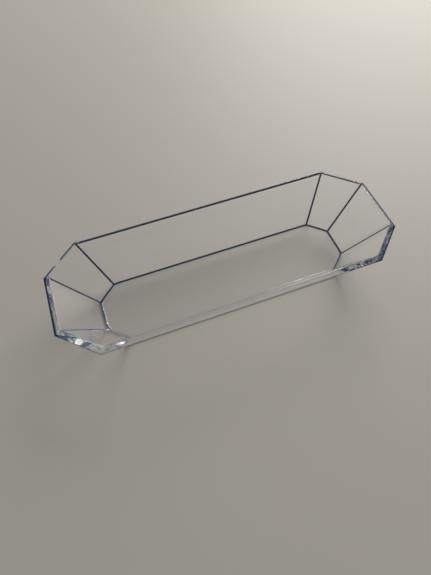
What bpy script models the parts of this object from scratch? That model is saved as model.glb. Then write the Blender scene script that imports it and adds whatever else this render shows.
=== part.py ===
"""A clear faceted dish, an elongated octagon, with navy enamel lines along its outer edges.

Metres, +Z up. +X runs along the dish, and the origin is under its centre, on the plane it rests on.
The body is one moulding, flat-faceted outside and rounded inside. Its rim is a bevel that rises
inwards. Every outer edge is ground to a narrow flat, its arris, and a line of enamel fills the
arris back to the sharp edge. At the rim the arris leans over, so that the enamel lies on the wall
and hardly shows on the bevel.
"""

import math

import bmesh
import bpy
from mathutils import Vector

# Outer shape, measured to the sharp edges
RIM_LENGTH = 0.2486
RIM_WIDTH = 0.0914
RIM_HEIGHT = 0.0376
RIM_CORNER_X = 0.0250
RIM_CORNER_Y = 0.0228
BASE_LENGTH = 0.1930
BASE_WIDTH = 0.0510
BASE_CORNER_X = 0.0140

# The bevel round the rim, from its outer edge up and in towards its inner edge. It sets the walls'
# thickness. LAND is how far its top is ground down to a narrow level land.
BEVEL_RISE = 0.0033
LAND = 0.0002
LONG_RUN = 0.0030
CORNER_RUN = 0.0040
END_RUN = 0.0042
FLOOR = 0.0048

# Roundings inside, as the distance each takes up on the faces beside it
CORNER_ROUNDING = 0.0050
FLOOR_ROUNDING = 0.0025
CORNER_SEGMENTS = 8
FLOOR_SEGMENTS = 4
ROUND_PROFILE = 0.5

# Enamel lines: the ribs' and the base's width across the arris, what the rim's lines cover of the
# wall and of the bevel, and the clearance round each
RIB_LINE = 0.0017
BASE_LINE = 0.0022
RIM_LINE_ON_WALL = 0.0013
RIM_LINE_ON_BEVEL = 0.0008
LINE_GAP = 0.0001

GLASS_COLOUR = (0.93, 0.97, 0.97, 1.0)
NAVY = (0.012, 0.030, 0.105, 1.0)

# The block that between_planes cuts from, and the distance under which points count as one
BLOCK = 2.0
SAME_POINT = 1e-7
ON_PLANE = 1e-6

DOWN = Vector((0, 0, -1))
UP = Vector((0, 0, 1))

# The eight walls in order round the dish, seen from above, anticlockwise
SIDES = ("right", "back_right", "back", "back_left", "left", "front_left", "front", "front_right")


def material(name, colour, roughness, transmission=0.0):
    made = bpy.data.materials.new(name)
    made.use_nodes = True
    shader = made.node_tree.nodes["Principled BSDF"]
    shader.inputs["Base Color"].default_value = colour
    shader.inputs["Roughness"].default_value = roughness
    shader.inputs["IOR"].default_value = 1.5
    shader.inputs["Transmission Weight"].default_value = transmission
    return made


def outline(length, width, corner_x, corner_y, height):
    """The eight corners of an elongated octagon. Side i runs from corner i to corner i + 1."""
    x, y = length / 2, width / 2
    quarter = ((x, y - corner_y), (x - corner_x, y))
    points = [(px, py) for px, py in quarter]
    points += [(-px, py) for px, py in reversed(quarter)]
    points += [(-px, -py) for px, py in points]
    return [Vector((px, py, height)) for px, py in points[-1:] + points[:-1]]


# Flat corner walls need the same slope in both outlines, so one corner size follows from the others.
BASE_CORNER_Y = BASE_CORNER_X * RIM_CORNER_Y / RIM_CORNER_X
RIM = outline(RIM_LENGTH, RIM_WIDTH, RIM_CORNER_X, RIM_CORNER_Y, RIM_HEIGHT)
BASE = outline(BASE_LENGTH, BASE_WIDTH, BASE_CORNER_X, BASE_CORNER_Y, 0.0)
RUNS = [END_RUN, CORNER_RUN, LONG_RUN, CORNER_RUN] * 2


def after(i):
    return (i + 1) % len(SIDES)


def facet(i):
    """The outer plane of wall i, as a point and an outward normal."""
    along = RIM[after(i)] - RIM[i]
    return RIM[i], along.cross(RIM[i] - BASE[i]).normalized()


def bevel(i):
    """The rim's bevel on wall i, as the step from its outer to its inner edge and the outward normal."""
    along = (RIM[after(i)] - RIM[i]).normalized()
    step = along.cross(DOWN) * RUNS[i] + UP * BEVEL_RISE
    return step, along.cross(step).normalized()


FACETS = [facet(i) for i in range(len(SIDES))]
BEVELS = [(RIM[i], bevel(i)[1]) for i in range(len(SIDES))]
INNER = [(RIM[i] + bevel(i)[0], -FACETS[i][1]) for i in range(len(SIDES))]
UNDERSIDE = (Vector((0, 0, 0)), DOWN)
TOP = (Vector((0, 0, RIM_HEIGHT + BEVEL_RISE - LAND)), UP)
HULL = FACETS + BEVELS + [UNDERSIDE, TOP]


def arris(edge_point, first, second, legs, gap):
    """The plane that grinds off the edge between two faces, each of them as far as its leg."""
    along = first[1].cross(second[1]).normalized()
    start = first[1].cross(along) * legs[0]
    end = along.cross(second[1]) * legs[1]
    normal = (end - start).cross(along).normalized()
    return edge_point + start - normal * gap, normal


def even_legs(width, first, second):
    """The legs of a flat that is this wide and leans the same way to both faces."""
    leg = width / 2 / math.cos(first[1].angle(second[1]) / 2)
    return leg, leg


def rim_arris(i, gap=0.0):
    return arris(RIM[i], FACETS[i], BEVELS[i], (RIM_LINE_ON_WALL, RIM_LINE_ON_BEVEL), gap)


def base_arris(i, gap=0.0):
    return arris(BASE[i], FACETS[i], UNDERSIDE, even_legs(BASE_LINE, FACETS[i], UNDERSIDE), gap)


def rib_arris(i, gap=0.0):
    first, second = FACETS[i], FACETS[after(i)]
    return arris(RIM[after(i)], first, second, even_legs(RIB_LINE, first, second), gap)


def turned(plane):
    return plane[0], -plane[1]


def moved(plane, distance):
    return plane[0] + plane[1] * distance, plane[1]


def between_planes(name, planes):
    """A closed mesh of the space behind every plane."""
    mesh = bpy.data.meshes.new(name)
    bm = bmesh.new()
    bmesh.ops.create_cube(bm, size=BLOCK)
    for point, normal in planes:
        everything = bm.verts[:] + bm.edges[:] + bm.faces[:]
        cut = bmesh.ops.bisect_plane(
            bm, geom=everything, dist=SAME_POINT, plane_co=point, plane_no=normal, clear_outer=True
        )
        rim = [part for part in cut["geom_cut"] if isinstance(part, bmesh.types.BMEdge)]
        open_edges = [edge for edge in rim if edge.is_boundary]
        if open_edges:
            bmesh.ops.contextual_create(bm, geom=open_edges)
    bmesh.ops.recalc_face_normals(bm, faces=bm.faces[:])
    bm.to_mesh(mesh)
    bm.free()
    return mesh


def place(name, mesh, finish):
    made = bpy.data.objects.new(name, mesh)
    mesh.materials.append(finish)
    bpy.context.scene.collection.objects.link(made)
    return made


def cavity():
    """The inside of the dish: the walls' inner planes over the floor, with every inner edge rounded."""
    inner = [turned(plane) for plane in INNER]
    floor = (Vector((0, 0, FLOOR)), DOWN)
    above = (Vector((0, 0, 2 * RIM_HEIGHT)), UP)
    mesh = between_planes("cavity", inner + [floor, above])
    bm = bmesh.new()
    bm.from_mesh(mesh)

    def on_floor(edge):
        return all(abs(vert.co.z - FLOOR) < ON_PLANE for vert in edge.verts)

    def upright(edge):
        return abs(edge.verts[0].co.z - edge.verts[1].co.z) > RIM_HEIGHT

    for chosen, rounding, segments in (
        (upright, CORNER_ROUNDING, CORNER_SEGMENTS),
        (on_floor, FLOOR_ROUNDING, FLOOR_SEGMENTS),
    ):
        bmesh.ops.bevel(
            bm,
            geom=[edge for edge in bm.edges if chosen(edge)],
            offset=rounding,
            segments=segments,
            profile=ROUND_PROFILE,
            affect="EDGES",
        )
    bm.to_mesh(mesh)
    bm.free()
    return mesh


def make_body(finish):
    grinds = (rim_arris, base_arris, rib_arris)
    arrises = [grind(i, LINE_GAP) for grind in grinds for i in range(len(SIDES))]
    body = place("dish_body", between_planes("dish_body", HULL + arrises), finish)
    cutter = bpy.data.objects.new("cavity_cutter", cavity())
    bpy.context.scene.collection.objects.link(cutter)
    cutter.hide_render = True
    cutter.display_type = "WIRE"
    hollow = body.modifiers.new("hollow", "BOOLEAN")
    hollow.operation = "DIFFERENCE"
    hollow.object = cutter
    hollow.solver = "EXACT"
    return body


def mitres(points, i):
    """The two upright planes that end side i's line, where it meets its neighbours' lines."""
    ends = []
    for corner, far, beyond in ((i, after(i), i - 1), (after(i), i, after(after(i)))):
        own = (points[corner] - points[far]).normalized()
        neighbour = (points[corner] - points[beyond]).normalized()
        ends.append((points[corner], (own - neighbour).normalized()))
    return [moved(end, -LINE_GAP / 2) for end in ends]


def make_lines(finish):
    """A line on every outer edge: eight round the rim, eight down between walls, eight at the base."""
    off_table = (Vector((0, 0, LINE_GAP)), DOWN)
    for i, side in enumerate(SIDES):
        corner = f"{side}_to_{SIDES[after(i)]}"
        rib_ends = [plane(n, LINE_GAP) for plane in (rim_arris, base_arris) for n in (i, after(i))]
        for name, bounds in (
            (f"rim_line_{side}", [turned(rim_arris(i))] + mitres(RIM, i)),
            (f"base_line_{side}", [turned(base_arris(i)), off_table] + mitres(BASE, i)),
            (f"rib_line_{corner}", [turned(rib_arris(i))] + rib_ends),
        ):
            place(name, between_planes(name, HULL + bounds), finish)


def main():
    for old in list(bpy.data.objects):
        bpy.data.objects.remove(old)
    make_body(material("clear_glass", GLASS_COLOUR, 0.02, transmission=1.0))
    make_lines(material("navy_enamel", NAVY, 0.35))


main()
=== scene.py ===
"""The looks of a clear faceted dish with navy enamel lines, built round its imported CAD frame."""

import math

import bmesh
import bpy
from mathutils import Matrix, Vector


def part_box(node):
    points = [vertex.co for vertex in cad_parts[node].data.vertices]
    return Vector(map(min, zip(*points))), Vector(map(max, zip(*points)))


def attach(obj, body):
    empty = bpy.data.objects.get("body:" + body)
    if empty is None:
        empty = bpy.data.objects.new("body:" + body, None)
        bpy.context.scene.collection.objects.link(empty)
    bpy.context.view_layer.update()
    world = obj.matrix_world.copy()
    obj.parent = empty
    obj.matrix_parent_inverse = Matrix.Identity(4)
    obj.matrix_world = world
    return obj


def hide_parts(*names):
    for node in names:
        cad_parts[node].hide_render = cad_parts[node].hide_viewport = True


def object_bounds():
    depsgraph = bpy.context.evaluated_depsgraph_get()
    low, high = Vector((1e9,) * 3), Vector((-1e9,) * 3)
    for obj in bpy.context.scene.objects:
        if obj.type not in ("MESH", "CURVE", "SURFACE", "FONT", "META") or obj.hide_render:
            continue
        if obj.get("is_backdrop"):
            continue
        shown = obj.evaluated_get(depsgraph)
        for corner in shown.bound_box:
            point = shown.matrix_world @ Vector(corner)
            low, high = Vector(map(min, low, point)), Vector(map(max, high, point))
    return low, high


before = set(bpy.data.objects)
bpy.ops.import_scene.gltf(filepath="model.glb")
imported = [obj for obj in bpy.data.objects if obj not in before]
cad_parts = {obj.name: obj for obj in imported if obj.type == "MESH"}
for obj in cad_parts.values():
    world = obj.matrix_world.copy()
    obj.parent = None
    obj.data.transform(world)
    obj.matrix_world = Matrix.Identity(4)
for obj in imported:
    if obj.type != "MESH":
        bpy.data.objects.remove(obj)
cad_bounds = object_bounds()

# The walls in order round the dish, seen from above, anticlockwise; wall i runs from corner i to i + 1
SIDES = ("right", "back_right", "back", "back_left", "left", "front_left", "front", "front_right")
WALLS = range(len(SIDES))

# The bevel round the rim: how high it rises to its sharp top, how far in it runs on each wall, and the
# radius of the lip that rounds off its top
BEVEL_RISE = 0.0033
LONG_RUN = 0.0030
CORNER_RUN = 0.0040
END_RUN = 0.0042
RUNS = (END_RUN, CORNER_RUN, LONG_RUN, CORNER_RUN) * 2
LIP_RADIUS = 0.0005

# Radii inside the dish, and the floor's thickness
FLOOR = 0.0048
RIM_CORNER_RADIUS = 0.0060
FLOOR_CORNER_RADIUS = 0.0090
FLOOR_FILLET = 0.0024

# How finely the curves and the walls are cut, and how strongly large faces steer the shading next to them
CORNER_STEPS = 16
LIP_STEPS = 6
WALL_STEPS = 4
FILLET_STEPS = 8
LARGE_FACE_WEIGHT = 100

# Enamel, brushed on by hand: the ribs' width, what the lines round the rim and the base cover of the
# wall, how far they lap over the bevel and the underside on each wall, the widest lap at a corner, the
# length over which each lap changes to that of the corner, and how deep the lines bond
RIB_LINE = 0.0017
RIM_LINE_ON_WALL = 0.0013
RIM_LAPS = {
    "right": 0.0035,
    "back_right": 0.0020,
    "back": 0.0012,
    "back_left": 0.0036,
    "left": 0.0018,
    "front_left": 0.0003,
    "front": 0.0002,
    "front_right": 0.0014,
}
CORNER_LAP = 0.0028
CORNER_BLEND = 0.004
BASE_LINE_ON_WALL = 0.0013
BASE_LAPS = {
    "right": 0.0013,
    "back_right": 0.0013,
    "back": 0.0013,
    "back_left": 0.0013,
    "left": 0.0013,
    "front_left": 0.0002,
    "front": 0.0002,
    "front_right": 0.0013,
}
BOND = 0.00004

# A chip in one rim line's enamel: where it starts and ends and how long the line tapers towards it, as
# shares of the line's length, and the share of the line's width that is left where the tapers end
CHIPPED = "back_left"
CHIP = (0.48, 0.67)
CHIP_TAPER = 0.03
CHIP_LEFT_OVER = 0.25

# Finishes: for a colour or a roughness, the scale of its noise and the two values it varies between, and
# for waves, the scale of their noise and their height
GLASS_IOR = 1.5
GLASS_COLOUR = (25.0, (0.985, 0.99, 0.985, 1), (0.993, 0.997, 0.995, 1))
GLASS_ROUGHNESS = (40.0, 0.02, 0.10)
GLASS_WAVES = (60.0, 0.000006)
ENAMEL_COLOUR = (300.0, (0.015, 0.038, 0.098, 1), (0.025, 0.060, 0.142, 1))
ENAMEL_ROUGHNESS = (200.0, 0.30, 0.50)
ENAMEL_WAVES = (500.0, 0.00002)
ENAMEL_SPECULAR = 0.1

# What each surface of the glass lets through: scattered light, and the lamp's light where it falls
# squarely and where it grazes, each with the Facing weight at which one starts to turn into the other
DIFFUSE_PASSED = (0.97, 0.97, 0.965, 1)
SQUARE_PASSED = (0.55, (0.93, 0.93, 0.92, 1))
GRAZING_PASSED = (0.85, (0.58, 0.58, 0.57, 1))

# The pale floor, just under the dish
STAGE_DROP = 0.0002
STAGE_HALF_SIZE = 3.0
STAGE_COLOUR = (0.47, 0.44, 0.39, 1)
STAGE_ROUGHNESS = 0.6

# A large soft window behind the dish and to its right, and the room's own light
WINDOW_PLACE = (1.20, 1.30, 0.95)
WINDOW_SIZE = (1.4, 0.8)
WINDOW_POWER = 41
WINDOW_COLOUR = (1.0, 0.98, 0.95)
ROOM_COLOUR = (0.80, 0.83, 0.88, 1)
ROOM_STRENGTH = 0.35

# The camera, with its turn in degrees
LENS = 27.03
SENSOR_WIDTH = 36
CAMERA_PLACE = (-0.0659, -0.1648, 0.2870)
CAMERA_TURN = (30.678, 0.530, -20.330)

# How often light may bounce or pass through glass, and how bright one bounced sample may be
BOUNCES = 48
CLEAR_BOUNCES = 32
BRIGHTEST_BOUNCE = 1.5

UP = Vector((0, 0, 1))
DOWN = -UP


def after(i):
    return (i + 1) % len(SIDES)


def outline(kind):
    """The corners of the sharp outer edges at the rim or the base, from the CAD lines' boxes."""
    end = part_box(f"{kind}_line_right")[1]
    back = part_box(f"{kind}_line_back")[1]
    # The rim line's furthest point out lies on the sharp edge. The base's sharp edge is at level 0.
    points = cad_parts[f"{kind}_line_back"].data.vertices
    level = max((point.co for point in points), key=lambda co: co.y).z if kind == "rim" else 0.0
    corners = [(end.x, end.y), (back.x, back.y), (-back.x, back.y), (-end.x, end.y)]
    corners += [(-x, -y) for x, y in corners]
    return [Vector((x, y, level)) for x, y in corners[-1:] + corners[:-1]]


RIM = outline("rim")
BASE = outline("base")
HEIGHT = RIM[0].z


def facet_normal(i):
    along = RIM[after(i)] - RIM[i]
    return along.cross(RIM[i] - BASE[i]).normalized()


def bevel_normal(i):
    along = (RIM[after(i)] - RIM[i]).normalized()
    return along.cross(along.cross(DOWN) * RUNS[i] + UP * BEVEL_RISE).normalized()


FACETS = [facet_normal(i) for i in WALLS]
BEVELS = [bevel_normal(i) for i in WALLS]
PLAN = [Vector((n.x, n.y, 0)).normalized() for n in FACETS]
LEAN = [math.asin(-n.z) for n in FACETS]


def outer_reach(i, level):
    """How far out wall i's facet is at a level."""
    return RIM[i].dot(PLAN[i]) - (HEIGHT - level) * math.tan(LEAN[i])


def leg(width, first, second):
    """How much of each face a line covers, on the edge between two faces."""
    return width / 2 / math.cos(first.angle(second) / 2)


def crossing(i, reach):
    """The corner after wall i in plan, given how far out every wall lies."""
    a, b = PLAN[i], PLAN[after(i)]
    first, second = reach[i], reach[after(i)]
    det = a.x * b.y - a.y * b.x
    return Vector(((first * b.y - second * a.y) / det, (second * a.x - first * b.x) / det, 0))


def ring(profile, corner_points):
    """A closed ring from each wall's reach and level, with corner_points placed at every corner."""
    reach = [step[0] for step in profile]
    points = []
    for i in WALLS:
        for share, point in corner_points(i, reach):
            point.z = profile[i][1] + (profile[after(i)][1] - profile[i][1]) * share
            points.append(point)
    return points


def ground_corner(i, reach):
    """The corner after wall i, ground to a flat as wide as the enamel line on it."""
    corner = crossing(i, reach)
    back = leg(RIB_LINE, FACETS[i], FACETS[after(i)])
    start = corner + (crossing(i - 1, reach) - corner).normalized() * back
    end = corner + (crossing(after(i), reach) - corner).normalized() * back
    for step in range(CORNER_STEPS + 1):
        share = step / CORNER_STEPS
        yield share, start.lerp(end, share)


def rounded_corner(radius):
    """Corner points, as from ground_corner, for corners rounded to a radius."""

    def place(i, reach):
        turn = PLAN[i].angle(PLAN[after(i)])
        bisector = (PLAN[i] + PLAN[after(i)]).normalized()
        centre = crossing(i, reach) - bisector * (radius / math.cos(turn / 2))
        first = math.atan2(PLAN[i].y, PLAN[i].x)
        for step in range(CORNER_STEPS + 1):
            share = step / CORNER_STEPS
            angle = first + share * turn
            yield share, centre + radius * Vector((math.cos(angle), math.sin(angle), 0))

    return place


def outside_rings():
    """Rings up the outside: the underside's edge, the base arris, the facets, the rim arris, the bevel."""
    low = [BASE_LINE_ON_WALL * math.cos(LEAN[i]) for i in WALLS]
    high = [HEIGHT - RIM_LINE_ON_WALL * math.cos(LEAN[i]) for i in WALLS]
    profiles = [
        [(outer_reach(i, 0) - BASE_LAPS[SIDES[i]], 0.0) for i in WALLS],
        [(outer_reach(i, low[i]), low[i]) for i in WALLS],
        [(outer_reach(i, high[i]), high[i]) for i in WALLS],
        [bevel_point(i, RIM_LAPS[SIDES[i]]) for i in WALLS],
    ]
    return [ring(profile, ground_corner) for profile in profiles]


def bevel_point(i, distance):
    """The reach and level of a point on wall i's bevel, at a distance from its outer edge."""
    width = math.hypot(RUNS[i], BEVEL_RISE)
    return (
        outer_reach(i, HEIGHT) - distance * RUNS[i] / width,
        HEIGHT + distance * BEVEL_RISE / width,
    )


def lip_arc(i):
    """The centre of wall i's rounded lip, and the directions where its arc starts and ends."""
    apex = Vector((outer_reach(i, HEIGHT) - RUNS[i], HEIGHT + BEVEL_RISE))
    bevel = Vector((BEVEL_RISE, RUNS[i])).normalized()
    inner = Vector((-math.cos(LEAN[i]), math.sin(LEAN[i])))
    bisector = (bevel + inner).normalized()
    return apex - bisector * (LIP_RADIUS / bisector.dot(bevel)), bevel, inner


def lip_rings():
    """Rings over the rounded lip between the bevel and the inner walls."""
    rings = []
    for step in range(LIP_STEPS + 1):
        share = step / LIP_STEPS
        profile = []
        for i in WALLS:
            centre, bevel, inner = lip_arc(i)
            turn = bevel.angle(inner) * share
            start = math.atan2(bevel.y, bevel.x)
            profile.append(centre + LIP_RADIUS * Vector((math.cos(start + turn), math.sin(start + turn))))
        rings.append(ring(profile, rounded_corner(RIM_CORNER_RADIUS)))
    return rings


def inside_rings():
    """Rings down the inner walls and round the fillet to the floor."""
    tops, feet = [], []
    for i in WALLS:
        centre, _, inner = lip_arc(i)
        tops.append(centre + LIP_RADIUS * inner)
        down = (tops[i].y - FLOOR) / math.cos(LEAN[i])
        feet.append(tops[i] - Vector((math.sin(LEAN[i]), math.cos(LEAN[i]))) * down)
    tangents = [FLOOR_FILLET * math.tan((math.pi / 2 - LEAN[i]) / 2) for i in WALLS]
    rings = []
    for step in range(1, WALL_STEPS + 1):
        share = step / WALL_STEPS
        radius = RIM_CORNER_RADIUS + (FLOOR_CORNER_RADIUS - RIM_CORNER_RADIUS) * share
        profile = []
        for i in WALLS:
            slope = (tops[i] - feet[i]).normalized()
            profile.append(tops[i].lerp(feet[i] + slope * tangents[i], share))
        rings.append(ring(profile, rounded_corner(radius)))
    for step in range(1, FILLET_STEPS + 1):
        share = step / FILLET_STEPS
        profile = []
        for i in WALLS:
            angle = (math.pi / 2 - LEAN[i]) * (1 - share)
            centre = feet[i].x - tangents[i]
            profile.append(
                (centre + FLOOR_FILLET * math.sin(angle), FLOOR + FLOOR_FILLET * (1 - math.cos(angle)))
            )
        rings.append(ring(profile, rounded_corner(FLOOR_CORNER_RADIUS - tangents[0] * share)))
    return rings


def loft(name, shells, smooth_from=math.inf):
    """A mesh of closed shells, each through its own rings and smooth from one ring on."""
    bm = bmesh.new()
    for rings in shells:
        loops = [[bm.verts.new(point) for point in points] for points in rings]
        for level, (low, high) in enumerate(zip(loops, loops[1:])):
            for k in range(len(low)):
                m = (k + 1) % len(low)
                face = bm.faces.new((low[k], low[m], high[m], high[k]))
                face.smooth = level >= smooth_from
        bm.faces.new(list(reversed(loops[0])))
        bm.faces.new(loops[-1])
    bmesh.ops.recalc_face_normals(bm, faces=bm.faces[:])
    mesh = bpy.data.meshes.new(name)
    bm.to_mesh(mesh)
    bm.free()
    return mesh


def add(name, mesh, finish):
    made = bpy.data.objects.new(name, mesh)
    bpy.context.scene.collection.objects.link(made)
    mesh.materials.append(finish)
    return made


def stand_for(piece, node):
    """Puts a piece in place of a CAD node."""
    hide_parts(node)
    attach(piece, "root")


def make_glass(finish):
    outer = outside_rings()
    mesh = loft("glass_body", [outer + lip_rings() + inside_rings()], len(outer))
    body = add("glass_body", mesh, finish)
    weighted = body.modifiers.new("even_normals", "WEIGHTED_NORMAL")
    weighted.mode = "FACE_AREA"
    weighted.weight = LARGE_FACE_WEIGHT
    weighted.keep_sharp = True
    stand_for(body, "dish_body")


def section(edge_point, first, second, legs, cut):
    """The five-sided section of an enamel line on the edge between two faces, at a cutting plane.

    The legs are how far it covers each face, and the plane is a point and a normal.
    """
    axis = first.cross(second).normalized()
    on_first = edge_point + first.cross(axis) * legs[0]
    on_second = edge_point + axis.cross(second) * legs[1]
    inward = (on_first - on_second).cross(axis).normalized() * BOND
    if inward.dot(first + second) > 0:
        inward = -inward
    points = (edge_point, on_first, on_first + inward, on_second + inward, on_second)
    return [point + axis * ((cut[0] - point).dot(cut[1]) / axis.dot(cut[1])) for point in points]


def make_line(name, node, runs, finish):
    """An enamel line from its runs, each a list of sections."""
    stand_for(add(name, loft(name, runs), finish), node)


def mitre(corners, i):
    """The upright plane through corner i, half way between the two walls that meet there."""
    bisector = (PLAN[i] + PLAN[i - 1]).normalized()
    return corners[i], UP.cross(bisector)


def level_line(kind, i, corners, second, on_wall, laps, finish):
    """The line along wall i at the rim or the base."""
    start, end = mitre(corners, i), mitre(corners, after(i))
    blend = CORNER_BLEND / (end[0] - start[0]).length

    def at(share, scale=1.0, lap=laps[SIDES[i]]):
        cut = (start[0].lerp(end[0], share), start[1].lerp(end[1], share).normalized())
        return section(corners[i], FACETS[i], second, (on_wall * scale, lap * scale), cut)

    def shared(neighbour):
        return min(CORNER_LAP, max(laps[SIDES[i]], laps[SIDES[neighbour]]))

    first = [at(0, lap=shared(i - 1)), at(blend)]
    last = [at(1 - blend), at(1, lap=shared(after(i)))]
    runs = [first + last]
    if kind == "rim" and SIDES[i] == CHIPPED:
        before, behind = CHIP
        runs = [
            first + [at(before - CHIP_TAPER), at(before, CHIP_LEFT_OVER)],
            [at(behind, CHIP_LEFT_OVER), at(behind + CHIP_TAPER)] + last,
        ]
    make_line(f"{kind}_enamel_{SIDES[i]}", f"{kind}_line_{SIDES[i]}", runs, finish)


def rib_line(i, finish):
    """The line down the edge between wall i and the next."""
    j = after(i)
    size = leg(RIB_LINE, FACETS[i], FACETS[j])
    foot = BASE_LINE_ON_WALL * math.cos(LEAN[i])
    ends = [
        section(RIM[j], FACETS[i], FACETS[j], (size, size), (Vector((0, 0, level)), UP))
        for level in (HEIGHT, foot)
    ]
    corner = f"{SIDES[i]}_to_{SIDES[j]}"
    make_line(f"rib_enamel_{corner}", f"rib_line_{corner}", [ends], finish)


def make_lines(finish):
    for i in WALLS:
        level_line("rim", i, RIM, BEVELS[i], RIM_LINE_ON_WALL, RIM_LAPS, finish)
        level_line("base", i, BASE, DOWN, BASE_LINE_ON_WALL, BASE_LAPS, finish)
        rib_line(i, finish)


def new_material(name):
    made = bpy.data.materials.new(name)
    made.use_nodes = True
    tree = made.node_tree
    return made, tree, tree.nodes["Principled BSDF"]


def noise(tree, scale):
    """Noise in object space."""
    place = tree.nodes.new("ShaderNodeTexCoord")
    made = tree.nodes.new("ShaderNodeTexNoise")
    made.inputs["Scale"].default_value = scale
    tree.links.new(place.outputs["Object"], made.inputs["Vector"])
    return made.outputs["Fac"]


def vary_colour(tree, socket, scale, low, high):
    """Feeds a colour socket with noise between two colours."""
    ramp = tree.nodes.new("ShaderNodeValToRGB")
    ramp.color_ramp.elements[0].color = low
    ramp.color_ramp.elements[1].color = high
    tree.links.new(noise(tree, scale), ramp.inputs["Fac"])
    tree.links.new(ramp.outputs["Color"], socket)


def vary_value(tree, socket, scale, low, high):
    """Feeds a socket with noise between two values."""
    spread = tree.nodes.new("ShaderNodeMapRange")
    spread.inputs["To Min"].default_value = low
    spread.inputs["To Max"].default_value = high
    tree.links.new(noise(tree, scale), spread.inputs["Value"])
    tree.links.new(spread.outputs["Result"], socket)


def add_waves(tree, shader, scale, height):
    """Gives a shader's surface slight waves."""
    bump = tree.nodes.new("ShaderNodeBump")
    bump.inputs["Distance"].default_value = height
    tree.links.new(noise(tree, scale), bump.inputs["Height"])
    tree.links.new(bump.outputs["Normal"], shader.inputs["Normal"])


def lamp_light_passed(tree):
    """The share of the lamp's light that a surface of the glass lets through, by its angle to it."""
    angle = tree.nodes.new("ShaderNodeLayerWeight")
    ramp = tree.nodes.new("ShaderNodeValToRGB")
    for stop, (position, passed) in zip(ramp.color_ramp.elements, (SQUARE_PASSED, GRAZING_PASSED)):
        stop.position = position
        stop.color = passed
    tree.links.new(angle.outputs["Facing"], ramp.inputs["Fac"])
    return ramp.outputs["Color"]


def let_through(tree, surface, rays):
    """A surface that is only a clear tint to one kind of ray, and the socket that sets the tint."""
    clear = tree.nodes.new("ShaderNodeBsdfTransparent")
    mix = tree.nodes.new("ShaderNodeMixShader")
    tree.links.new(rays, mix.inputs[0])
    tree.links.new(surface, mix.inputs[1])
    tree.links.new(clear.outputs[0], mix.inputs[2])
    return mix.outputs[0], clear.inputs["Color"]


def glass_material():
    """Clear moulded glass, faintly cool, that lets most light through its shadow."""
    made, tree, shader = new_material("clear_glass")
    shader.inputs["IOR"].default_value = GLASS_IOR
    shader.inputs["Transmission Weight"].default_value = 1.0
    vary_colour(tree, shader.inputs["Base Color"], *GLASS_COLOUR)
    vary_value(tree, shader.inputs["Roughness"], *GLASS_ROUGHNESS)
    add_waves(tree, shader, *GLASS_WAVES)
    path = tree.nodes.new("ShaderNodeLightPath")
    surface, tint = let_through(tree, shader.outputs[0], path.outputs["Is Diffuse Ray"])
    tint.default_value = DIFFUSE_PASSED
    surface, tint = let_through(tree, surface, path.outputs["Is Shadow Ray"])
    tree.links.new(lamp_light_passed(tree), tint)
    tree.links.new(surface, tree.nodes["Material Output"].inputs["Surface"])
    return made


def enamel_material():
    """Thin navy enamel, satin, brushed on by hand."""
    made, tree, shader = new_material("navy_enamel")
    shader.inputs["Specular IOR Level"].default_value = ENAMEL_SPECULAR
    vary_colour(tree, shader.inputs["Base Color"], *ENAMEL_COLOUR)
    vary_value(tree, shader.inputs["Roughness"], *ENAMEL_ROUGHNESS)
    add_waves(tree, shader, *ENAMEL_WAVES)
    return made


def make_floor():
    size = STAGE_HALF_SIZE
    corners = [(-size, -size), (size, -size), (size, size), (-size, size)]
    mesh = bpy.data.meshes.new("floor")
    mesh.from_pydata([(x, y, -STAGE_DROP) for x, y in corners], [], [(0, 1, 2, 3)])
    finish, _, shader = new_material("pale_floor")
    shader.inputs["Base Color"].default_value = STAGE_COLOUR
    shader.inputs["Roughness"].default_value = STAGE_ROUGHNESS
    add("floor", mesh, finish)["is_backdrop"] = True


def make_window():
    data = bpy.data.lights.new("window", "AREA")
    data.shape = "RECTANGLE"
    data.size, data.size_y = WINDOW_SIZE
    data.energy = WINDOW_POWER
    data.color = WINDOW_COLOUR
    lamp = bpy.data.objects.new("window", data)
    lamp.location = WINDOW_PLACE
    lamp.rotation_euler = (-lamp.location).to_track_quat("-Z", "Y").to_euler()
    bpy.context.scene.collection.objects.link(lamp)


def make_room_light():
    world = bpy.data.worlds.new("studio")
    bpy.context.scene.world = world
    world.use_nodes = True
    background = world.node_tree.nodes["Background"]
    background.inputs["Color"].default_value = ROOM_COLOUR
    background.inputs["Strength"].default_value = ROOM_STRENGTH


def make_camera():
    data = bpy.data.cameras.new("camera")
    data.lens = LENS
    data.sensor_width = SENSOR_WIDTH
    camera = bpy.data.objects.new("camera", data)
    camera.location = CAMERA_PLACE
    camera.rotation_euler = [math.radians(angle) for angle in CAMERA_TURN]
    bpy.context.scene.collection.objects.link(camera)
    bpy.context.scene.camera = camera


def set_scene():
    """Enough bounces for light that runs along inside the glass."""
    scene = bpy.context.scene
    scene.view_settings.view_transform = "Standard"
    scene.cycles.max_bounces = BOUNCES
    scene.cycles.glossy_bounces = BOUNCES
    scene.cycles.transmission_bounces = BOUNCES
    scene.cycles.transparent_max_bounces = CLEAR_BOUNCES
    scene.cycles.caustics_reflective = False
    scene.cycles.caustics_refractive = False
    scene.cycles.sample_clamp_indirect = BRIGHTEST_BOUNCE


def main():
    make_glass(glass_material())
    make_lines(enamel_material())
    make_floor()
    make_window()
    make_room_light()
    make_camera()
    set_scene()


main()

sizes = {"cad": cad_bounds, "visual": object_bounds()}
{key: [list(corner) for corner in value] for key, value in sizes.items()}
